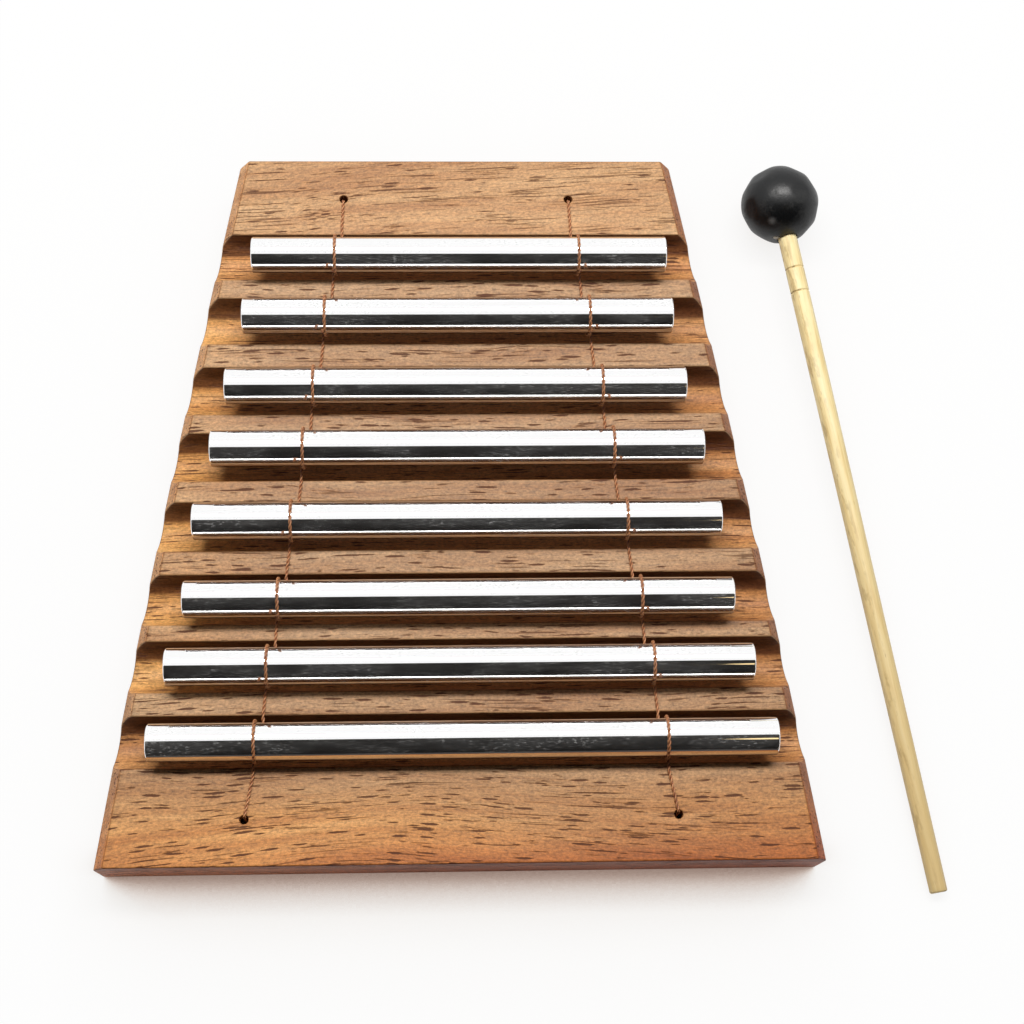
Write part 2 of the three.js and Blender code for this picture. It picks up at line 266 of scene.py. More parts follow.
class Wire:
    """An output in a material's node tree. Arithmetic on it adds the Math nodes that work it out."""

    def __init__(self, tree, socket=None):
        self.tree = tree
        self.socket = socket

    def node(self, kind, settings, sockets, output=0):
        """A new node: its settings are made first, then its sockets get their values or links."""
        made = self.tree.nodes.new("ShaderNode" + kind)
        for name, value in settings.items():
            if name != "stops":
                setattr(made, name, value)
                continue
            ramp = made.color_ramp.elements
            while len(ramp) < len(value):
                ramp.new(1)
            for stop, (place, colour) in zip(ramp, value):
                stop.position = place
                stop.color = (*colour, 1)
        for name, value in sockets.items():
            if isinstance(value, Wire):
                self.tree.links.new(value.socket, made.inputs[name])
            else:
                made.inputs[name].default_value = value
        return Wire(self.tree, made.outputs[output] if made.outputs else None)

    def beside(self, output):
        """Another output of the same node."""
        return Wire(self.tree, self.socket.node.outputs[output])

    def math(self, operation, first, second=0.0):
        return self.node("Math", {"operation": operation}, {0: first, 1: second})

    def __add__(self, other):
        return self.math("ADD", self, other)

    __radd__ = __add__

    def __sub__(self, other):
        return self.math("SUBTRACT", self, other)

    def __rsub__(self, other):
        return self.math("SUBTRACT", other, self)

    def __mul__(self, other):
        return self.math("MULTIPLY", self, other)

    __rmul__ = __mul__

    def __truediv__(self, other):
        return self.math("DIVIDE", self, other)

    def __pow__(self, other):
        return self.math("POWER", self, other)

    def __abs__(self):
        return self.math("ABSOLUTE", self)

    def ramp(self, low, high):
        """0 below low and 1 above high, with a smooth rise between; falls where low is above high."""
        settings = {"interpolation_type": "SMOOTHSTEP"}
        return self.node("MapRange", settings, {"Value": self, "From Min": low, "From Max": high})

    def colours(self, *stops):
        """A colour for each value, from pairs of value and colour."""
        return self.node("ValToRGB", {"stops": stops}, {"Fac": self})

    def mix(self, first, second, blend="MIX"):
        """The first colour where this is 0 and the second where it is 1."""
        first, second = (colour if isinstance(colour, Wire) else (*colour, 1) for colour in (first, second))
        settings = {"data_type": "RGBA", "blend_type": blend}
        return self.node("Mix", settings, {"Factor": self, 6: first, 7: second}, 2)

    def parts(self):
        """The three parts of a vector."""
        return [self.node("SeparateXYZ", {}, {"Vector": self}, axis) for axis in "XYZ"]

    def vector(self, x, y, z):
        return self.node("CombineXYZ", {}, {"X": x, "Y": y, "Z": z})

    def noise(self, detail=2.0, rough=0.5, scale=1.0):
        sockets = {"Vector": self, "Scale": scale, "Detail": detail, "Roughness": rough}
        return self.node("TexNoise", {"normalize": True}, sockets)

    def bump(self, depth):
        """A normal from a height of this many millimetres at 1."""
        return self.node("Bump", {}, {"Height": self, "Distance": depth * MM, "Strength": 1.0})


def start_material(name):
    """A new material, and its Object coordinates in millimetres."""
    material = bpy.data.materials.new(name)
    material.use_nodes = True
    material.node_tree.nodes.clear()
    where = Wire(material.node_tree).node("TexCoord", {}, {}, "Object")
    return material, where.node("VectorMath", {"operation": "SCALE"}, {0: where, "Scale": 1 / MM})


def coat(wire, **sockets):
    """The material's surface: a Principled shader with these values and links."""
    named = {name.replace("_", " "): value for name, value in sockets.items()}
    shader = wire.node("BsdfPrincipled", {}, named)
    wire.node("OutputMaterial", {}, {"Surface": shader})


def oiled_hardwood():
    """Bands of paler and redder wood along the grain, fine broken fibres, and dark open pores as strokes
    along it. The grain slopes on the back pad and arches on the front pad. Milled and sawn faces differ,
    and the ribs and grooves are paler at their left ends."""
    material, where = start_material("oiled_hardwood")
    x, y, z = where.parts()
    names = ("edge", "cut", "wall", "side")
    edge, cut, wall, side = (where.node("Attribute", {"attribute_name": name}, {}, "Fac") for name in names)
    wander = where.vector(x / 60, y / 30, z / 30).noise(1.0)
    back = y.ramp(60, 82)
    front = (-1 * y).ramp(70, 94)
    swing = (x + 12) / 36
    arch = swing.math("COSINE", swing) * 4.5
    grain = y + (wander - 0.5) * (7 - back * 4) - x * (0.012 + back * 0.05) - arch * front
    deep = z + (wander - 0.5) * 5

    bands = where.vector(x / 70, grain / 4.2, deep / 5).noise(3.0, 0.6)
    broad = where.vector(x / 110 + 7, grain / 24, deep / 24).noise(1.0)
    crowd = where.vector(x / 26, grain / 5, deep / 5).noise(2.0)
    fibres = where.vector(x / 2.2, grain / 0.40, deep / 0.40).noise(3.0, 0.65)
    pebbles = where.vector(x / 0.85, grain / 0.62, deep / 0.62).noise(2.0, 0.7)

    def strokes(length, width, least):
        """Fine lines: the crests of a noise drawn out along the grain, which thin out at both ends."""
        crests = where.vector(x / length, grain / width, deep / width).noise(2.0, 0.5)
        return (crests + (crowd - 0.5) * 0.45).ramp(least, least + 0.07)

    def pores(length, apart, half_width, seed, share):
        """Open pores: around the point of each long cell a spindle, as wide at a distance of d half-lengths
        as half its width times 1 - d * d. Only some cells have one, more of them where pores crowd."""
        place = where.vector(x / length + seed, grain / apart, deep / apart)
        centre = place.node("TexVoronoi", {"feature": "F1"}, {"Vector": place, "Scale": 1.0}, "Position")
        off = place.node("VectorMath", {"operation": "SUBTRACT"}, {0: place, 1: centre})
        along, across, down = off.parts()
        big, kept, _ = centre.beside("Color").parts()
        along = along / (0.16 + big * 0.30)
        lens = (1 - along * along) * (0.5 + big * 0.6) * half_width
        aside = (across * across + down * down) ** 0.5 * apart
        gap = abs(aside + (fibres - 0.5) * 0.35)
        return (lens - gap).ramp(-0.02, 0.10) * (kept + (crowd - 0.5) * 1.6).ramp(1 - share, 1.08 - share)

    fine = strokes(30.0, 0.42, 0.655 - back * 0.045 - cut * 0.02)
    short = pores(8.0, 1.0, 0.34, 0.0, 0.72 - back * 0.50 + front * 0.08)
    long = pores(23.0, 1.0, 0.24 - back * 0.05, 5.3, 0.68 + back * 0.20 + front * 0.12)
    pore = fine.math("MAXIMUM", fine * 0.8, short)
    pore = pore.math("MAXIMUM", pore, long)

    base = (bands * 0.7 + broad * 0.3).colours(
        (0.30, (0.315, 0.136, 0.050)),
        (0.44, (0.420, 0.212, 0.088)),
        (0.55, (0.490, 0.272, 0.122)),
        (0.70, (0.570, 0.345, 0.172)),
    )
    base = (front * (0.5 + broad.ramp(0.38, 0.62) * 0.5)).mix(base, (1.24, 1.0, 0.66), "MULTIPLY")
    ribs = (1 - back) * (1 - front * 0.8)
    base = ribs.mix(base, (0.77, 0.79, 0.86), "MULTIPLY")
    low = (-1 * y).ramp(90, 100.4) * (0.35 + 0.65 * x.ramp(-70, 10))
    base = low.mix(base, (0.84, 0.58, 0.40), "MULTIPLY")
    base = (front * x.ramp(30, 80)).mix(base, (0.95, 0.86, 0.74), "MULTIPLY")
    base = (front * (1 - side) * x.ramp(-10, -60)).mix(base, (1.15, 1.14, 1.04), "MULTIPLY")
    base = cut.mix(base, (1.26, 1.06, 0.80), "MULTIPLY")
    left = x.ramp(-50, -74) * y.ramp(-66, -50) * y.ramp(75, 55)
    base = left.mix(base, (1.22, 1.20, 1.12), "MULTIPLY")
    base = (left * cut).mix(base, (1.06, 1.16, 1.10), "MULTIPLY")
    # painted shade: the wall of each groove that faces the front, below a rib's edge, is painted much darker
    base = wall.ramp(0.38, 0.56).mix(base, (0.28, 0.22, 0.22), "MULTIPLY")
    base = side.mix(base, (1.30, 1.15, 1.02), "MULTIPLY")
    # painted shade: the bevel on the right side is painted darker than the one on the left
    base = (side * x.ramp(-40, 40)).mix(base, (0.64, 0.50, 0.42), "MULTIPLY")
    base = (-1 * y).ramp(100.2, 100.38).mix(base, (1.02, 0.68, 0.68), "MULTIPLY")
    tone = 1.04 + (fibres - 0.5) * 1.5 + (pebbles - 0.5) * 1.5
    grey = tone.vector(tone, tone, tone)
    base = base.node("VectorMath", {"operation": "MULTIPLY"}, {0: base, 1: grey})
    base = (pore * 0.92).mix(base, (0.085, 0.026, 0.011))
    worn = edge.ramp(0.2, 0.8) * wall.ramp(0.5, 0.6)
    line = edge.ramp(0.25, 0.9) * (0.35 + 1.3 * (fibres - 0.25)) * (1 - worn)
    base = (line * 0.85).mix(base, (0.130, 0.042, 0.017))
    base = (worn * 0.5).mix(base, (0.640, 0.400, 0.200))
    rough = 0.52 + (fibres - 0.5) * 0.2 + pore * 0.2
    height = (fibres - 0.5) * 0.8 + (pebbles - 0.5) * 0.6 - pore * 1.6
    coat(where, Base_Color=base, Roughness=rough, Normal=height.bump(0.05), Specular_IOR_Level=0.32)
    return material


hardwood = oiled_hardwood()
skin, skin_faces = joined(board_skins())
board = add_piece("wooden_board", settled(skin), skin_faces.tolist(), hardwood)
cutter = add_piece("cord_hole_cutter", *cord_holes(), hardwood)
drill = board.modifiers.new("cord_holes", "BOOLEAN")
drill.solver = "EXACT"
drill.object = cutter
drilled = bpy.data.meshes.new_from_object(board.evaluated_get(bpy.context.evaluated_depsgraph_get()))
board.modifiers.clear()
board.data = drilled
bpy.data.objects.remove(cutter)
drilled.set_sharp_from_angle(angle=math.radians(50))
corners = np.empty(len(drilled.vertices) * 3)
drilled.vertices.foreach_get("co", corners)
corners = corners.reshape(-1, 3)
depths = skin_depths(corners)
off_middle = corners[:, 1] - GROOVES[np.abs(corners[:, 1:2] - GROOVES).argmin(axis=1)]
cut = depths[5] > -0.2 * MM
marks = {
    "edge": -depths.max(axis=0) / (EDGE_ROUND * (1 - math.sqrt(0.5))),
    "cut": cut,
    "wall": cut * off_middle / COVE,
    "side": depths[3:5].max(axis=0) > -0.1 * MM,
}
for name, values in marks.items():
    data = drilled.attributes.new(name, "FLOAT", "POINT").data
    data.foreach_set("value", np.clip(values, 0, 1).astype(np.float32))
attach(board, "board")
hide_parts("board")

# The bars
# Eight solid rods of one diameter, sawn to the lengths that sound an octave, their ends slightly rounded,
# and polished to a mirror all over. Handling has left faint smudges, hairlines and a few dings.

BAR_END_ROUND = 0.5 * MM
BAR_SIDES = 160


def polished_metal():
    """Mirror polish with cloudy smudges, hairlines along the bar, tiny dings and a faint waviness. The low
    side, up to a little above the axis and ends apart, is tinted dull brown: painted shade that darkens what
    it mirrors."""
    material, where = start_material("polished_metal")
    x, y, z = where.parts()
    haze = where.vector(x / 17, y / 5, z / 5).noise(4.0, 0.6).ramp(0.5, 0.78)
    hairs = where.vector(x / 24, y / 0.22, z / 0.22).noise(2.0, 0.6)
    place = where.vector(x / 2.2, y / 1.3, z / 1.3)
    spots = place.node("TexVoronoi", {"feature": "F1"}, {"Vector": place, "Scale": 1.0}, "Distance")
    dings = spots.ramp(0.16, 0.05) * where.vector(x / 9, y / 9, z / 9).noise(1.0).ramp(0.55, 0.68)
    waves = where.vector(x / 16, y / 9, z / 9).noise(1.0)
    dust = where.vector(x / 1.3, y / 0.45, z / 0.45).noise(3.0, 0.7).ramp(0.52, 0.70)
    film = where.vector(x / 21 + 4, y / 6, z / 6).noise(3.0, 0.6).ramp(0.36, 0.66)
    rough = 0.045 + haze * 0.06 + hairs.ramp(0.55, 0.8) * 0.04
    height = (waves - 0.5) * 5 + (hairs - 0.5) * 0.05 - dings * 2
    axis = (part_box(BARS[0])[0].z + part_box(BARS[0])[1].z) / 2 / MM
    endways, _, _ = where.node("TexCoord", {}, {}, "Normal").parts()
    # painted shade: each bar's low side, but not its end faces, is tinted dull brown, which darkens what it
    # mirrors there
    painted_shade_below = (z - axis).ramp(1.6, 0.9) * abs(endways).ramp(0.6, 0.2)
    tint = (haze * 0.5).mix((0.965, 0.965, 0.965), (0.92, 0.915, 0.91))
    tint = painted_shade_below.mix(tint, (0.50, 0.45, 0.43))
    bare = 0.985 - film * (0.03 + dust * 0.26)
    coat(where, Base_Color=tint, Metallic=bare, Roughness=rough, Normal=height.bump(0.001))
    return material


metal = polished_metal()
for name in BARS:
    low, high = (np.array(corner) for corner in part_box(name))
    radius = (high[2] - low[2]) / 2
    turn = np.linspace(0, math.pi / 2, 6)
    inward = BAR_END_ROUND * (1 - np.sin(turn))
    corner = np.stack([radius - inward, BAR_END_ROUND * (1 - np.cos(turn))], axis=1)
    length = high[0] - low[0]
    ends = np.array([0.004, 0.3, 0.7, 1]) * (radius - BAR_END_ROUND)
    foot = np.vstack([np.stack([ends[:-1], np.zeros(3)], axis=1), corner])
    beside = BAR_END_ROUND + 0.08 * MM
    places = np.concatenate([[beside], np.linspace(0.1, 0.9, 9) * length, [length - beside]])
    shaft = np.stack([np.full(11, radius), places], axis=1)
    profile = np.vstack([foot, shaft, (foot * [1, -1] + [0, length])[::-1]])
    start = (low[0], (low[1] + high[1]) / 2, (low[2] + high[2]) / 2)
    rings = turned(profile, start, (1, 0, 0), BAR_SIDES)
    bar = add_piece("polished_" + name, *rings_mesh(rings), metal, 60)
    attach(bar, name)
    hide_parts(name)

# The cords
# Two thin two-ply cords, reddish brown. Each comes up through a hole in the narrow pad, takes one round
# turn about every bar, lies over every rib between, and goes down through a hole in the wide pad. A knot
# in the pocket below holds each end. Each cord is made in lengths.

CORD = 0.45 * MM
CORD_SPREAD_BACK = 34.2 * MM
CORD_SPREAD_FRONT = 53.8 * MM
ARRIVE_INBOARD = 1.6 * MM
LEAVE_OUTBOARD = 0.7 * MM
CORD_STEP = 0.12 * MM
LAY = 3.1 * MM
PLY = 0.245 * MM
PLY_OFFSET = 0.205 * MM
CORD_SIDES = 16
ON_WOOD = THICKNESS + CORD


def ease(share):
    """A smooth rise from 0 to 1."""
    return share * share * (3 - 2 * share)


def bar_middle(name):
    """A bar seen from its end: its axis' place along the board, the axis' height, and the bar's radius."""
    low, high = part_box(name)
    return (low.y + high.y) / 2, (low.z + high.z) / 2, (high.z - low.z) / 2


def round_turn(name, groove):
    """One round turn: from the rib behind, under the bar, up its front, over, down its back, under again
    and out in front. It moves outboard only under the bar. Returns the points up to the top, and from it."""
    middle, height, radius = bar_middle(name)
    back, front = bar_middle(BARS[0])[0], bar_middle(BARS[-1])[0]
    across = CORD_SPREAD_BACK + (CORD_SPREAD_FRONT - CORD_SPREAD_BACK) * (back - middle) / (back - front)
    wrap = radius + CORD
    drop = ON_WOOD - height
    behind, ahead = groove + COVE - middle, groove - COVE - middle
    start = math.atan2(drop, behind) - math.acos(min(1, wrap / math.hypot(behind, drop)))
    stop = math.atan2(drop, ahead) + math.acos(min(1, wrap / math.hypot(ahead, drop))) - 2 * math.pi
    top = -1.5 * math.pi

    def turn(angle):
        arriving = np.minimum(1, (start - angle) / (start + math.pi))
        leaving = np.maximum(0, (angle + 2 * math.pi) / (stop + 2 * math.pi))
        x = across - ARRIVE_INBOARD * (1 - ease(arriving)) + LEAVE_OUTBOARD * ease(leaving)
        return np.stack([x, middle + wrap * np.cos(angle), height + wrap * np.sin(angle)], axis=1)

    first = np.vstack([[across - ARRIVE_INBOARD, groove + COVE, ON_WOOD], turn(np.linspace(start, top, 80))])
    last = np.vstack([turn(np.linspace(top, stop, 80)), [across + LEAVE_OUTBOARD, groove - COVE, ON_WOOD]])
    return first, last


def cord_end(x, y, towards):
    """From a cut tail up through the knot and the hole to the pad: the tail leaves a coil that winds down
    round the cord, turns in below it, and the cord runs up its middle, over the hole's rim and away."""
    wind, rise, turns, coil_top = 0.93 * MM, 0.96 * MM, 2.5, 5.0 * MM
    flare, fall = 1.3 * MM, 3.4 * MM
    ahead = np.array([towards[0] - x, towards[1] - y])
    ahead /= np.linalg.norm(ahead)
    share = np.linspace(1, 0, 40)
    angle = 0.6 * math.pi * share
    out = wind + flare * ease(np.minimum(1, 2 * share))
    height = coil_top - fall * ease(np.maximum(0, share - 0.3) / 0.7)
    tail = np.stack([out * np.cos(angle), out * np.sin(angle), height], axis=1)
    angle = -np.linspace(0, turns, 120) * 2 * math.pi
    height = coil_top + rise * angle / (2 * math.pi)
    coil = np.stack([wind * np.cos(angle), wind * np.sin(angle), height], axis=1)
    last = angle[-1]
    angle = np.linspace(0, math.pi, 24)
    inward = wind / 2 * (1 + np.cos(angle))
    low = height[-1] - wind / 2 * np.sin(angle)
    under = np.stack([inward * math.cos(last), inward * math.sin(last), low], axis=1)
    rim, bend = 0.62 * MM, 0.55 * MM
    lift = np.linspace(height[-1], ON_WOOD - bend, 60)[1:]
    lean = rim * ease((lift - lift[0]) / (lift[-1] - lift[0]))
    stem = np.stack([lean * ahead[0], lean * ahead[1], lift], axis=1)
    angle = np.linspace(0, math.pi / 2, 12)[1:]
    over = rim + bend * (1 - np.cos(angle))
    leave = np.stack([over * ahead[0], over * ahead[1], ON_WOOD - bend * (1 - np.sin(angle))], axis=1)
    return np.vstack([tail, coil, under, stem, leave]) + [x, y, 0]


def cord_route(side):
    """A cord's centre line from its back knot to its front knot, evenly stepped, and the steps at which it
    is cut: the pad's edge, then over each bar and in the middle of each rib, and the other pad's edge."""
    turns = [round_turn(name, groove) for name, groove in zip(BARS, GROOVES)]
    pad_back = turns[0][0][:1] + [[0, 2 * MM, 0]]
    pad_front = turns[-1][1][-1:] - [[0, 2 * MM, 0]]
    hole = HALF_LENGTH - HOLE_INSET
    runs = [cord_end(HOLE_SPREAD_BACK, hole, pad_back[0]), pad_back]
    marks = [1]
    for first, last in turns:
        runs += [first, last]
        marks += [len(runs) - 1, len(runs)]
    marks.pop()
    runs += [pad_front, cord_end(HOLE_SPREAD_FRONT, -hole, pad_front[0])[::-1]]
    marks.append(len(runs) - 2)
    starts = np.cumsum([0] + [len(run) for run in runs])
    corners = np.vstack(runs) * [side, 1, 1]
    walked = np.concatenate([[0], np.cumsum(np.linalg.norm(np.diff(corners, axis=0), axis=1))])
    keep = np.concatenate([[True], np.diff(walked) > 0])
    steps = np.arange(0, walked[-1], CORD_STEP)
    line = np.stack([np.interp(steps, walked[keep], corners[keep, axis]) for axis in range(3)], axis=1)
    soft = np.ones(7) / 7
    padded = np.pad(line, ((3, 3), (0, 0)), mode="edge")
    line = np.stack([np.convolve(padded[:, axis], soft, "valid") for axis in range(3)], axis=1)
    cuts = []
    for mark in marks:
        here = walked[starts[mark]]
        rib = mark > 1 and mark < len(runs) - 2 and mark % 2 == 0
        before = walked[starts[mark] - 1] if rib else here
        cuts.append(int(round((here + before) / 2 / CORD_STEP)))
    return line, cuts


def carried_frames(line):
    """Two unit vectors across a path, carried along without twist: any pair across it, turned back by the
    running sum of the angles by which that pair turns from point to point."""
    along = np.gradient(line, axis=0)
    along /= np.linalg.norm(along, axis=1)[:, None]
    side = np.array([1.0, 0, 0]) - along[:, :1] * along
    side /= np.linalg.norm(side, axis=1)[:, None]
    up = np.cross(along, side)
    moved = side[:-1] - (side[:-1] * along[1:]).sum(axis=1)[:, None] * along[1:]
    slip = np.arctan2((moved * up[1:]).sum(axis=1), (moved * side[1:]).sum(axis=1))
    turn = np.concatenate([[0], np.cumsum(slip)])[:, None]
    return np.cos(turn) * side + np.sin(turn) * up, np.cos(turn) * up - np.sin(turn) * side


def twisted(line):
    """Rings of two round plies laid together: seen across, each is two circles joined, and it turns once
    in every length of lay."""
    side, up = carried_frames(line)
    angle = np.linspace(0, 2 * math.pi, CORD_SIDES, endpoint=False)
    radius = PLY_OFFSET * np.abs(np.cos(angle)) + np.sqrt(PLY**2 - (PLY_OFFSET * np.sin(angle)) ** 2)
    turn = (np.arange(len(line)) * CORD_STEP / LAY * 2 * math.pi)[:, None] + angle
    x = (radius * np.cos(turn))[:, :, None]
    y = (radius * np.sin(turn))[:, :, None]
    return line[:, None] + x * side[:, None] + y * up[:, None]


def waxed_cord():
    """Twisted threads, paler on the crowns of the plies, partly rubbed wear and partly painted highlight,
    and darker in the crease between them, which is painted shade.
    """
    material, where = start_material("waxed_cord")
    x, y, z = where.parts()
    threads = where.vector(x / 0.10, y / 0.5, z / 0.5).noise(2.0, 0.6)
    worn = where.vector(x / 6, y / 6, z / 6).noise(2.0)
    crown = where.node("Attribute", {"attribute_name": "crown"}, {}, "Fac")
    # painted highlight on the plies' crowns and painted shade in the crease between them, with the threads'
    # own tone
    tone = crown * 0.6 + (threads - 0.5) * 0.7 + (worn - 0.5) * 0.5
    colour = tone.colours(
        (0.0, (0.100, 0.030, 0.012)),
        (0.35, (0.330, 0.120, 0.048)),
        (0.75, (0.640, 0.300, 0.130)),
    )
    coat(where, Base_Color=colour, Roughness=0.42, Normal=threads.bump(0.03))
    return material


cord_finish = waxed_cord()
crowns = np.abs(np.cos(np.linspace(0, 2 * math.pi, CORD_SIDES, endpoint=False)))
for node, side in (("cord_right", 1), ("cord_left", -1)):
    line, cuts = cord_route(side)
    rings = twisted(line)
    cuts = [0, *cuts, len(line) - 1]
    lengths = [f"{node}_back_end"]
    lengths += [f"{node}_{name}_{half}" for name in BARS for half in ("arriving", "leaving")]
    lengths += [f"{node}_front_end"]
    for label, first, last in zip(lengths, cuts, cuts[1:]):
        piece = add_piece(label, *rings_mesh(rings[first:last + 1]), cord_finish, 80)
        crown = piece.data.attributes.new("crown", "FLOAT", "POINT")
        crown.data.foreach_set("value", np.tile(crowns, last + 1 - first).astype(np.float32))
        if label.endswith("end"):
            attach(piece, "board")
        else:
            name = next(bar for bar in BARS if f"_{bar}_" in label)
            middle = bar_middle(name)[0]
            inward = -1 if label.endswith("arriving") else 1
            edge = GROOVES[BARS.index(name)] - inward * COVE
            run = min(1.2 * MM, 0.8 * abs(edge - middle))
            edge + inward * run
            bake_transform(piece)
        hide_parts(node)

# The mallet
# A moulded black rubber ball, a little out of round and scuffed, with a blind socket into which the stick
# is glued. The stick is split cane, whittled round with long shallow facets, slightly tapered, and scored
# with two fine cuts below the head. It lies beside the board on its head and its butt.

HEAD_RADIUS = 11.3 * MM
HEAD_INSET = 9.4 * MM
STANDOFF = 30.7 * MM
SOCKET_DEPTH = 12 * MM
STICK_RADIUS_HEAD = 2.8 * MM
STICK_RADIUS_BUTT = 2.45 * MM
STICK_REACH = 201.9 * MM
STICK_SIDES = 72
SCORES = HEAD_RADIUS + np.array([9.2, 16.5]) * MM
SCORE_DEPTH = 0.22 * MM
SCORE_HALF_WIDTH = 0.3 * MM
FLAT_REACH = 0.977
FLAT_SOFTNESS = 0.010
FLATS = np.array([
    [0.39, 0.79, 0.46], [0.81, 0.43, 0.37], [0.97, -0.22, 0.09], [0.75, -0.65, -0.16],
    [-0.47, 0.84, 0.31], [-0.86, 0.52, 0.08], [-0.85, -0.38, -0.35], [-0.50, -0.72, -0.45],
])
GLINT_WAY = np.array([-0.343, -0.737, 0.582])
GLUE = np.array([-0.15, -0.985, 0.06])

splay = math.atan(SIDE_SLOPE)
tilt = math.asin((HEAD_RADIUS - STICK_RADIUS_BUTT) / STICK_REACH)
head_y = HALF_LENGTH - HEAD_INSET
head_middle = np.array([half_top(head_y) + BEVEL_RUN + STANDOFF / math.cos(splay), head_y, HEAD_RADIUS])
stick_way = np.array([math.sin(splay) * math.cos(tilt), -math.cos(splay) * math.cos(tilt), -math.sin(tilt)])
stick_side = np.array([math.cos(splay), math.sin(splay), 0])


def mallet_head():
    """A ball from its far pole to the socket's lip and in to the socket's floor. Broad flats are worn on it:
    each is a plane a little inside the ball, and the skin is the softly rounded least of ball and planes."""
    socket = STICK_RADIUS_HEAD + 0.02 * MM
    lip = 0.5 * MM
    mouth = math.acos((socket + lip) / HEAD_RADIUS)
    angle = np.linspace(-math.pi / 2 + 0.02, mouth, 90)
    ball = np.stack([HEAD_RADIUS * np.cos(angle), HEAD_RADIUS * np.sin(angle)], axis=1)
    turn = np.linspace(0, math.pi / 2, 7)[1:]
    rolled = ball[-1] - np.stack([lip * np.sin(turn), lip * (1 - np.cos(turn)) * 0.8], axis=1)
    floor = HEAD_RADIUS - SOCKET_DEPTH
    inside = [[socket, rolled[-1, 1] - lip], [socket, floor], [0.01 * MM, floor]]
    rings = turned(np.vstack([ball, rolled, inside]), head_middle, stick_way, 160)
    out = (rings - head_middle) / HEAD_RADIUS
    flats = np.vstack([FLATS, np.random.default_rng(8).normal(0, 1, (9, 3))])
    flats /= np.linalg.norm(flats, axis=1)[:, None]
    reach = np.linalg.norm(out, axis=2)
    facing = (out / reach[:, :, None]) @ flats.T
    planes = FLAT_REACH / np.maximum(facing, 0.5)
    within = np.exp(-planes / FLAT_SOFTNESS).sum(axis=2) + math.exp(-1 / FLAT_SOFTNESS)
    least = -np.log(within) * FLAT_SOFTNESS
    skin = ease(np.clip((reach - 0.8) / 0.2, 0, 1))
    return head_middle + (rings - head_middle) * (1 - (1 - np.minimum(least, 1)) * skin)[:, :, None]


def mallet_stick():
    """A tapered stick: its radius falls evenly to the butt, less two scored cuts, times seven faint facets
    that wander round it, and its butt is rounded."""
    start = HEAD_RADIUS - SOCKET_DEPTH
    tip_round = 0.6 * MM
    distance = np.concatenate([
        np.linspace(start, STICK_REACH - tip_round, 150),
        *[score + np.array([-0.5, -0.32, -0.16, 0, 0.16, 0.32, 0.5]) * MM for score in SCORES],
    ])
    distance = np.sort(distance)
    share = (distance - start) / (STICK_REACH - start)
    radius = STICK_RADIUS_HEAD + (STICK_RADIUS_BUTT - STICK_RADIUS_HEAD) * share
    for score in SCORES:
        radius = radius - SCORE_DEPTH * np.clip(1 - np.abs(distance - score) / SCORE_HALF_WIDTH, 0, 1)
    turn = np.linspace(0, math.pi / 2, 6)[1:]
    narrower = tip_round * (1 - np.cos(turn))
    tip = np.stack([radius[-1] - narrower, distance[-1] + tip_round * np.sin(turn)], axis=1)
    shaft = np.stack([radius, distance], axis=1)
    profile = np.vstack([[0.01 * MM, start], shaft, tip, [0.01 * MM, STICK_REACH]])
    rings = turned(profile, (0, 0, 0), stick_way, STICK_SIDES)
    reach = rings @ stick_way
    spoke = rings - reach[:, :, None] * stick_way
    angle = np.linspace(0, 2 * math.pi, STICK_SIDES, endpoint=False)
    facets = np.cos(7 * angle + 1.5 * np.sin(reach / (31 * MM)) + 2 * np.sin(2 * angle))
    shrink = 1 - 0.012 * (1 + facets) - 0.006 * (1 + np.sin(reach / (17 * MM) + 3 * angle))
    return head_middle + reach[:, :, None] * stick_way + spoke * shrink[:, :, None]


def moulded_rubber():
    """Black rubber with a satin skin, greyer where it is scuffed and dusty, with one grey spot that is a
    painted highlight, and a bead of dry glue at the socket."""
    material, where = start_material("moulded_rubber")
    clouds = where.noise(4.0, 0.6, 0.22)
    grains = where.noise(3.0, 0.6, 2.2)
    scuffs = (clouds * 0.7 + grains * 0.3).ramp(0.50, 0.68)

    def near(way, reach, soft):
        spot = tuple(float(part) for part in (head_middle + way * HEAD_RADIUS) / MM)
        gap = where.node("VectorMath", {"operation": "DISTANCE"}, {0: where, 1: spot}, "Value")
        return (gap + (grains - 0.5) * reach).ramp(reach + soft, reach - soft)

    # painted highlight: a soft grey spot on the upper front of the ball
    painted_glint = near(GLINT_WAY, 0.9, 0.8)
    glue = near(GLUE, 1.1, 0.2)
    colour = scuffs.mix((0.0030, 0.0033, 0.0038), (0.013, 0.013, 0.013))
    colour = (painted_glint * 0.8).mix(colour, (0.110, 0.110, 0.110))
    colour = glue.mix(colour, (0.400, 0.370, 0.310))
    rough = 0.36 + scuffs * 0.20 + (grains - 0.5) * 0.16
    height = (clouds - 0.5) * 3 + (grains - 0.5) * 0.3 + glue * 6
    coat(where, Base_Color=colour, Roughness=rough, Normal=height.bump(0.05), Specular_IOR_Level=0.36)
    return material


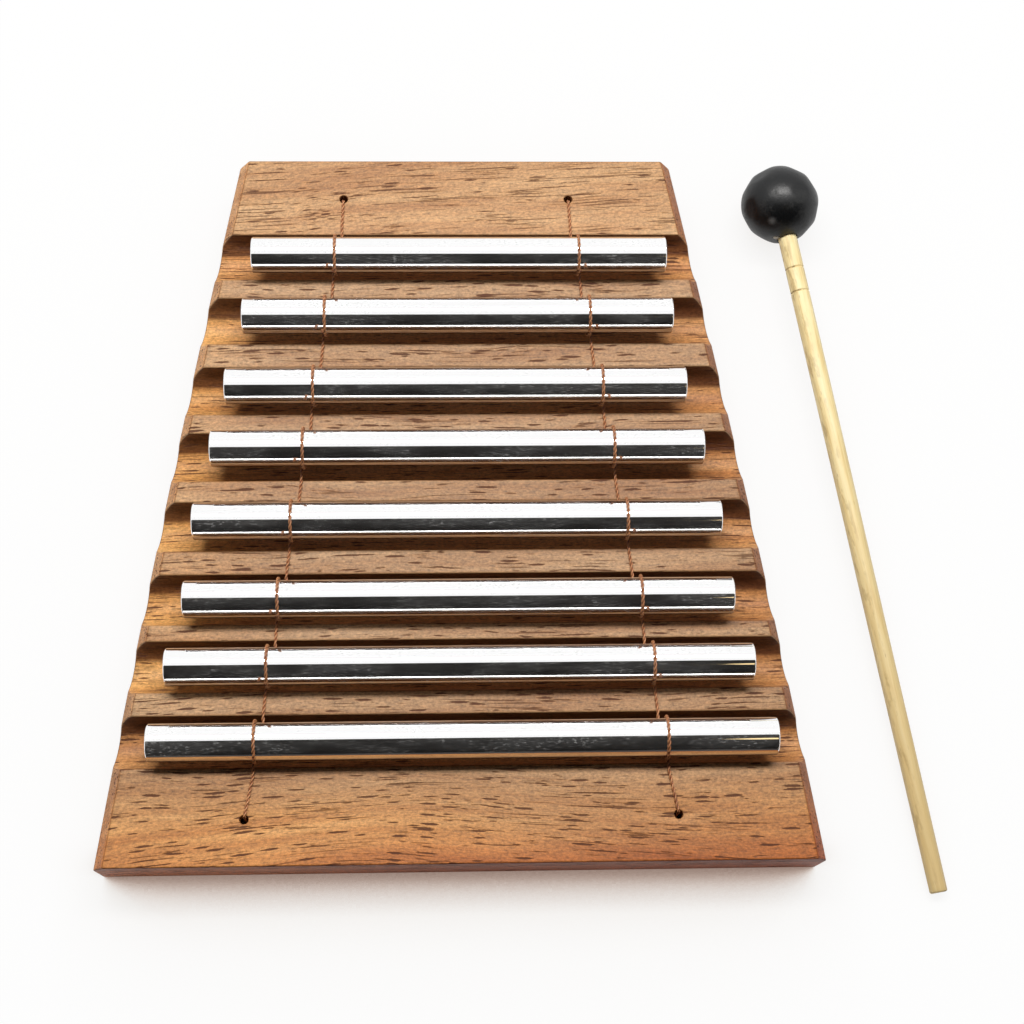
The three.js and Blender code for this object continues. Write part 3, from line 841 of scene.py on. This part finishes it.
def split_cane():
    """Pale straw-coloured cane: long streaks, short brown flecks, painted shade in blotches on its left side,
    and the scored cuts darker on their left half.
    """
    material, where = start_material("split_cane")
    sockets = {"Vector": where, "Rotation": (0, 0, -splay)}
    turned_way = where.node("Mapping", {"vector_type": "POINT"}, sockets)
    x, y, z = turned_way.parts()
    streaks = where.vector(x / 0.7, y / 34, z / 0.7).noise(3.0, 0.6)
    stains = where.vector(x / 3, y / 22, z / 3).noise(2.0)
    place = where.vector(x / 1.1, y / 5.5, z / 1.1)
    cells = place.node("TexVoronoi", {"feature": "F1"}, {"Vector": place, "Scale": 1.0}, "Distance")
    flecks = cells.ramp(0.20, 0.08) * stains.ramp(0.48, 0.62)
    middle = tuple(float(part) for part in head_middle / MM)
    offset = where.node("VectorMath", {"operation": "SUBTRACT"}, {0: where, 1: middle})
    way = tuple(float(part) for part in stick_way)
    reach = offset.node("VectorMath", {"operation": "DOT_PRODUCT"}, {0: offset, 1: way}, "Value")
    cuts = [abs(reach - float(score / MM)).ramp(0.4, 0.1) for score in SCORES]
    aged = reach.ramp(20, 200)
    colour = ((streaks - 0.5) * 0.8 + (stains - 0.5) * 0.6 + 0.5).colours(
        (0.2, (0.700, 0.490, 0.200)),
        (0.5, (0.920, 0.755, 0.390)),
        (0.8, (0.980, 0.880, 0.550)),
    )
    colour = (aged * 0.7).mix(colour, (0.610, 0.430, 0.180))
    colour = (flecks * 0.55).mix(colour, (0.300, 0.165, 0.060))
    rightward = tuple(float(part) for part in stick_side)
    away = offset.node("VectorMath", {"operation": "DOT_PRODUCT"}, {0: offset, 1: rightward}, "Value")
    # painted shade: the stick's left side is darker, in blotches
    left_painted_shade = where.vector(x / 1.6, y / 7, z / 1.6).noise(3.0, 0.65).ramp(0.50, 0.66)
    colour = (left_painted_shade * away.ramp(0.6, -1.6) * 0.5).mix(colour, (0.400, 0.270, 0.110))
    # the scored cuts are darker, on the left half of the stick
    cut_darkening = (cuts[0] + cuts[1]) * streaks.ramp(0.35, 0.65) * away.ramp(1.6, 0.2)
    colour = (cut_darkening * 0.8).mix(colour, (0.330, 0.205, 0.075))
    height = (streaks - 0.5) * 1.0 - flecks * 0.8
    coat(where, Base_Color=colour, Roughness=0.5 + (streaks - 0.5) * 0.2, Normal=height.bump(0.05))
    return material


for node, rings, material, slot in (
    ("mallet_head", mallet_head(), moulded_rubber(), "mallet_rubber"),
    ("mallet_stick", mallet_stick(), split_cane(), "mallet_stick"),
):
    piece = add_piece(node + "_finished", *rings_mesh(rings), material, 60)
    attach(piece, "mallet")
    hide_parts(node)

# The table and the light
# The chime stands on a plain white table in soft daylight from above and behind. The dark room in front of
# the table, where the viewer stands, is a curved black cloth that only the mirror finish and the shade see.

TABLE_SIZE = 8.0
WORLD_LEVEL = 0.10
TABLE_GLOW = 0.94
HALF_ROOM = 2.0
FLOOR_RISE = 0.004


def seen_directly(wire):
    """1 for what the camera sees, also in a mirror or through glass, and 0 for light that falls on things."""
    outputs = ("Is Camera Ray", "Is Glossy Ray", "Is Transmission Ray")
    camera, glossy, through = (wire.node("LightPath", {}, {}, output) for output in outputs)
    return (camera + glossy + through).ramp(0, 1)


def white_table():
    """Matt white. Where it is looked at, most of its tone is set by how much of the sky each place sees, so
    that it stays white and darkens softly and warmly close to the object, most of all before the board."""
    material, where = start_material("white_table")
    settings = {"samples": 16}
    open_sky = where.node("AmbientOcclusion", settings, {"Distance": 0.12}, "AO")
    x, y, z = where.parts()
    before = (-1 * y).ramp(88, 101) * abs(x).ramp(114, 102)
    open_sky = 1 - (1 - open_sky) * (0.35 + 0.65 * before)
    tone = open_sky.colours(
        (0.50, (0.28, 0.19, 0.155)),
        (0.54, (0.40, 0.28, 0.225)),
        (0.61, (0.73, 0.63, 0.57)),
        (0.68, (0.88, 0.85, 0.82)),
        (0.80, (0.96, 0.95, 0.94)),
        (1.00, (1.00, 1.00, 1.00)),
    )
    matt = where.node("BsdfDiffuse", {}, {"Color": (0.86, 0.86, 0.86, 1)})
    glow = where.node("Emission", {}, {"Color": tone, "Strength": 1.0})
    faint = where.node("MixShader", {}, {0: TABLE_GLOW, 1: matt, 2: glow})
    both = where.node("MixShader", {}, {0: seen_directly(where), 1: matt, 2: faint})
    where.node("OutputMaterial", {}, {"Surface": both})
    return material


def black_cloth():
    """Matt black cloth with a faint warm cast and slow folds of grey, and to the right a tapering strip that
    glows warm, a painted light though it is no lamp, which the polished bars show near their right ends."""
    material, where = start_material("black_cloth")
    x, y, z = where.parts()
    folds = where.noise(2.0, 0.5, 0.004)
    colour = folds.mix((0.020, 0.020, 0.021), (0.075, 0.062, 0.055))
    # painted light: a tapering strip of the cloth glows warm, and shows only as a streak mirrored in the bars
    glowing_strip = (abs(y + 350) - (x - 171) * 3).ramp(8, -8) * abs(y + 350).ramp(60, 40) * x.ramp(330, 260)
    glow = glowing_strip.mix((0, 0, 0), (1.0, 0.74, 0.36))
    coat(where, Base_Color=colour, Roughness=0.9, Emission_Color=glow, Emission_Strength=1.3)
    return material


half = TABLE_SIZE / 2
corners = np.array([[-half, -half, -1e-4], [half, -half, -1e-4], [half, half, -1e-4], [-half, half, -1e-4]])
table = add_piece("table_top", corners, [[0, 1, 2, 3]], white_table())
path = np.array([
    [-0.070, 0.500], [-0.16, 0.585], [-0.30, 0.64], [-0.50, 0.62],
    [-0.80, 0.50], [-0.95, 0.30], [-1.0, FLOOR_RISE],
])
width = np.linspace(-HALF_ROOM, HALF_ROOM, 9)
sheet = np.stack([
    np.tile(width, (len(path), 1)),
    np.repeat(path[:, :1], len(width), axis=1),
    np.repeat(path[:, 1:], len(width), axis=1),
], axis=2)
faces = grid_faces(len(path), len(width)).tolist()
cloth = add_piece("dark_room", sheet.reshape(-1, 3), faces, black_cloth())
cloth.visible_camera = False
# painted reflection: a black sheet on the table before the board, unseen by the camera and casting no shadow,
# which the bars mirror dark in place of the white table
corners = np.array([
    [-HALF_ROOM, -1.0, FLOOR_RISE], [HALF_ROOM, -1.0, FLOOR_RISE],
    [HALF_ROOM, -0.125, FLOOR_RISE], [-HALF_ROOM, -0.125, FLOOR_RISE],
])
runner = add_piece("dark_floor", corners, [[0, 1, 2, 3]], cloth.data.materials[0])
runner.visible_camera = False
runner.visible_shadow = False

sky = bpy.data.worlds.new("daylight")
bpy.context.scene.world = sky
sky.use_nodes = True
sky.node_tree.nodes.clear()
air = Wire(sky.node_tree)
seen = seen_directly(air)
level = seen * (1 - WORLD_LEVEL) + WORLD_LEVEL
background = air.node("Background", {}, {"Color": (1, 1, 1, 1), "Strength": level})
air.node("OutputWorld", {}, {"Surface": background})

lamp = bpy.data.lights.new("window", "AREA")
lamp.shape = "RECTANGLE"
lamp.size = 0.9
lamp.size_y = 0.16
lamp.energy = 12.0
lamp.color = (1.0, 0.985, 0.96)
window = bpy.data.objects.new("window", lamp)
bpy.context.scene.collection.objects.link(window)
window.location = (0.0, 0.34, 0.94)
window.rotation_euler = (Vector((0, 0, 0)) - window.location).to_track_quat("-Z", "Y").to_euler()

# The camera
# A phone held over the near edge of the board and looking steeply down, placed where the board's corners
# and the bars' ends line up with the photograph.

CAMERA_PLACE = Vector((-0.0066, -0.1519, 0.5157))
CAMERA_DOWN = math.radians(73.37)
CAMERA_TURN = math.radians(8.17)
CAMERA_ROLL = math.radians(7.47)
CAMERA_LENS = 66.45

look = Vector((
    math.sin(CAMERA_TURN) * math.cos(CAMERA_DOWN),
    math.cos(CAMERA_TURN) * math.cos(CAMERA_DOWN),
    -math.sin(CAMERA_DOWN),
))
level_right = Vector((math.cos(CAMERA_TURN), -math.sin(CAMERA_TURN), 0))
level_up = level_right.cross(look)
right = math.cos(CAMERA_ROLL) * level_right + math.sin(CAMERA_ROLL) * level_up
upward = math.cos(CAMERA_ROLL) * level_up - math.sin(CAMERA_ROLL) * level_right
optics = bpy.data.cameras.new("camera")
optics.lens = CAMERA_LENS
optics.clip_start = 0.01
camera = bpy.data.objects.new("camera", optics)
bpy.context.scene.collection.objects.link(camera)
camera.matrix_world = Matrix.Translation(CAMERA_PLACE) @ Matrix((right, upward, -look)).transposed().to_4x4()
bpy.context.scene.camera = camera
bpy.context.scene.view_settings.view_transform = "Standard"

bpy.context.view_layer.update()
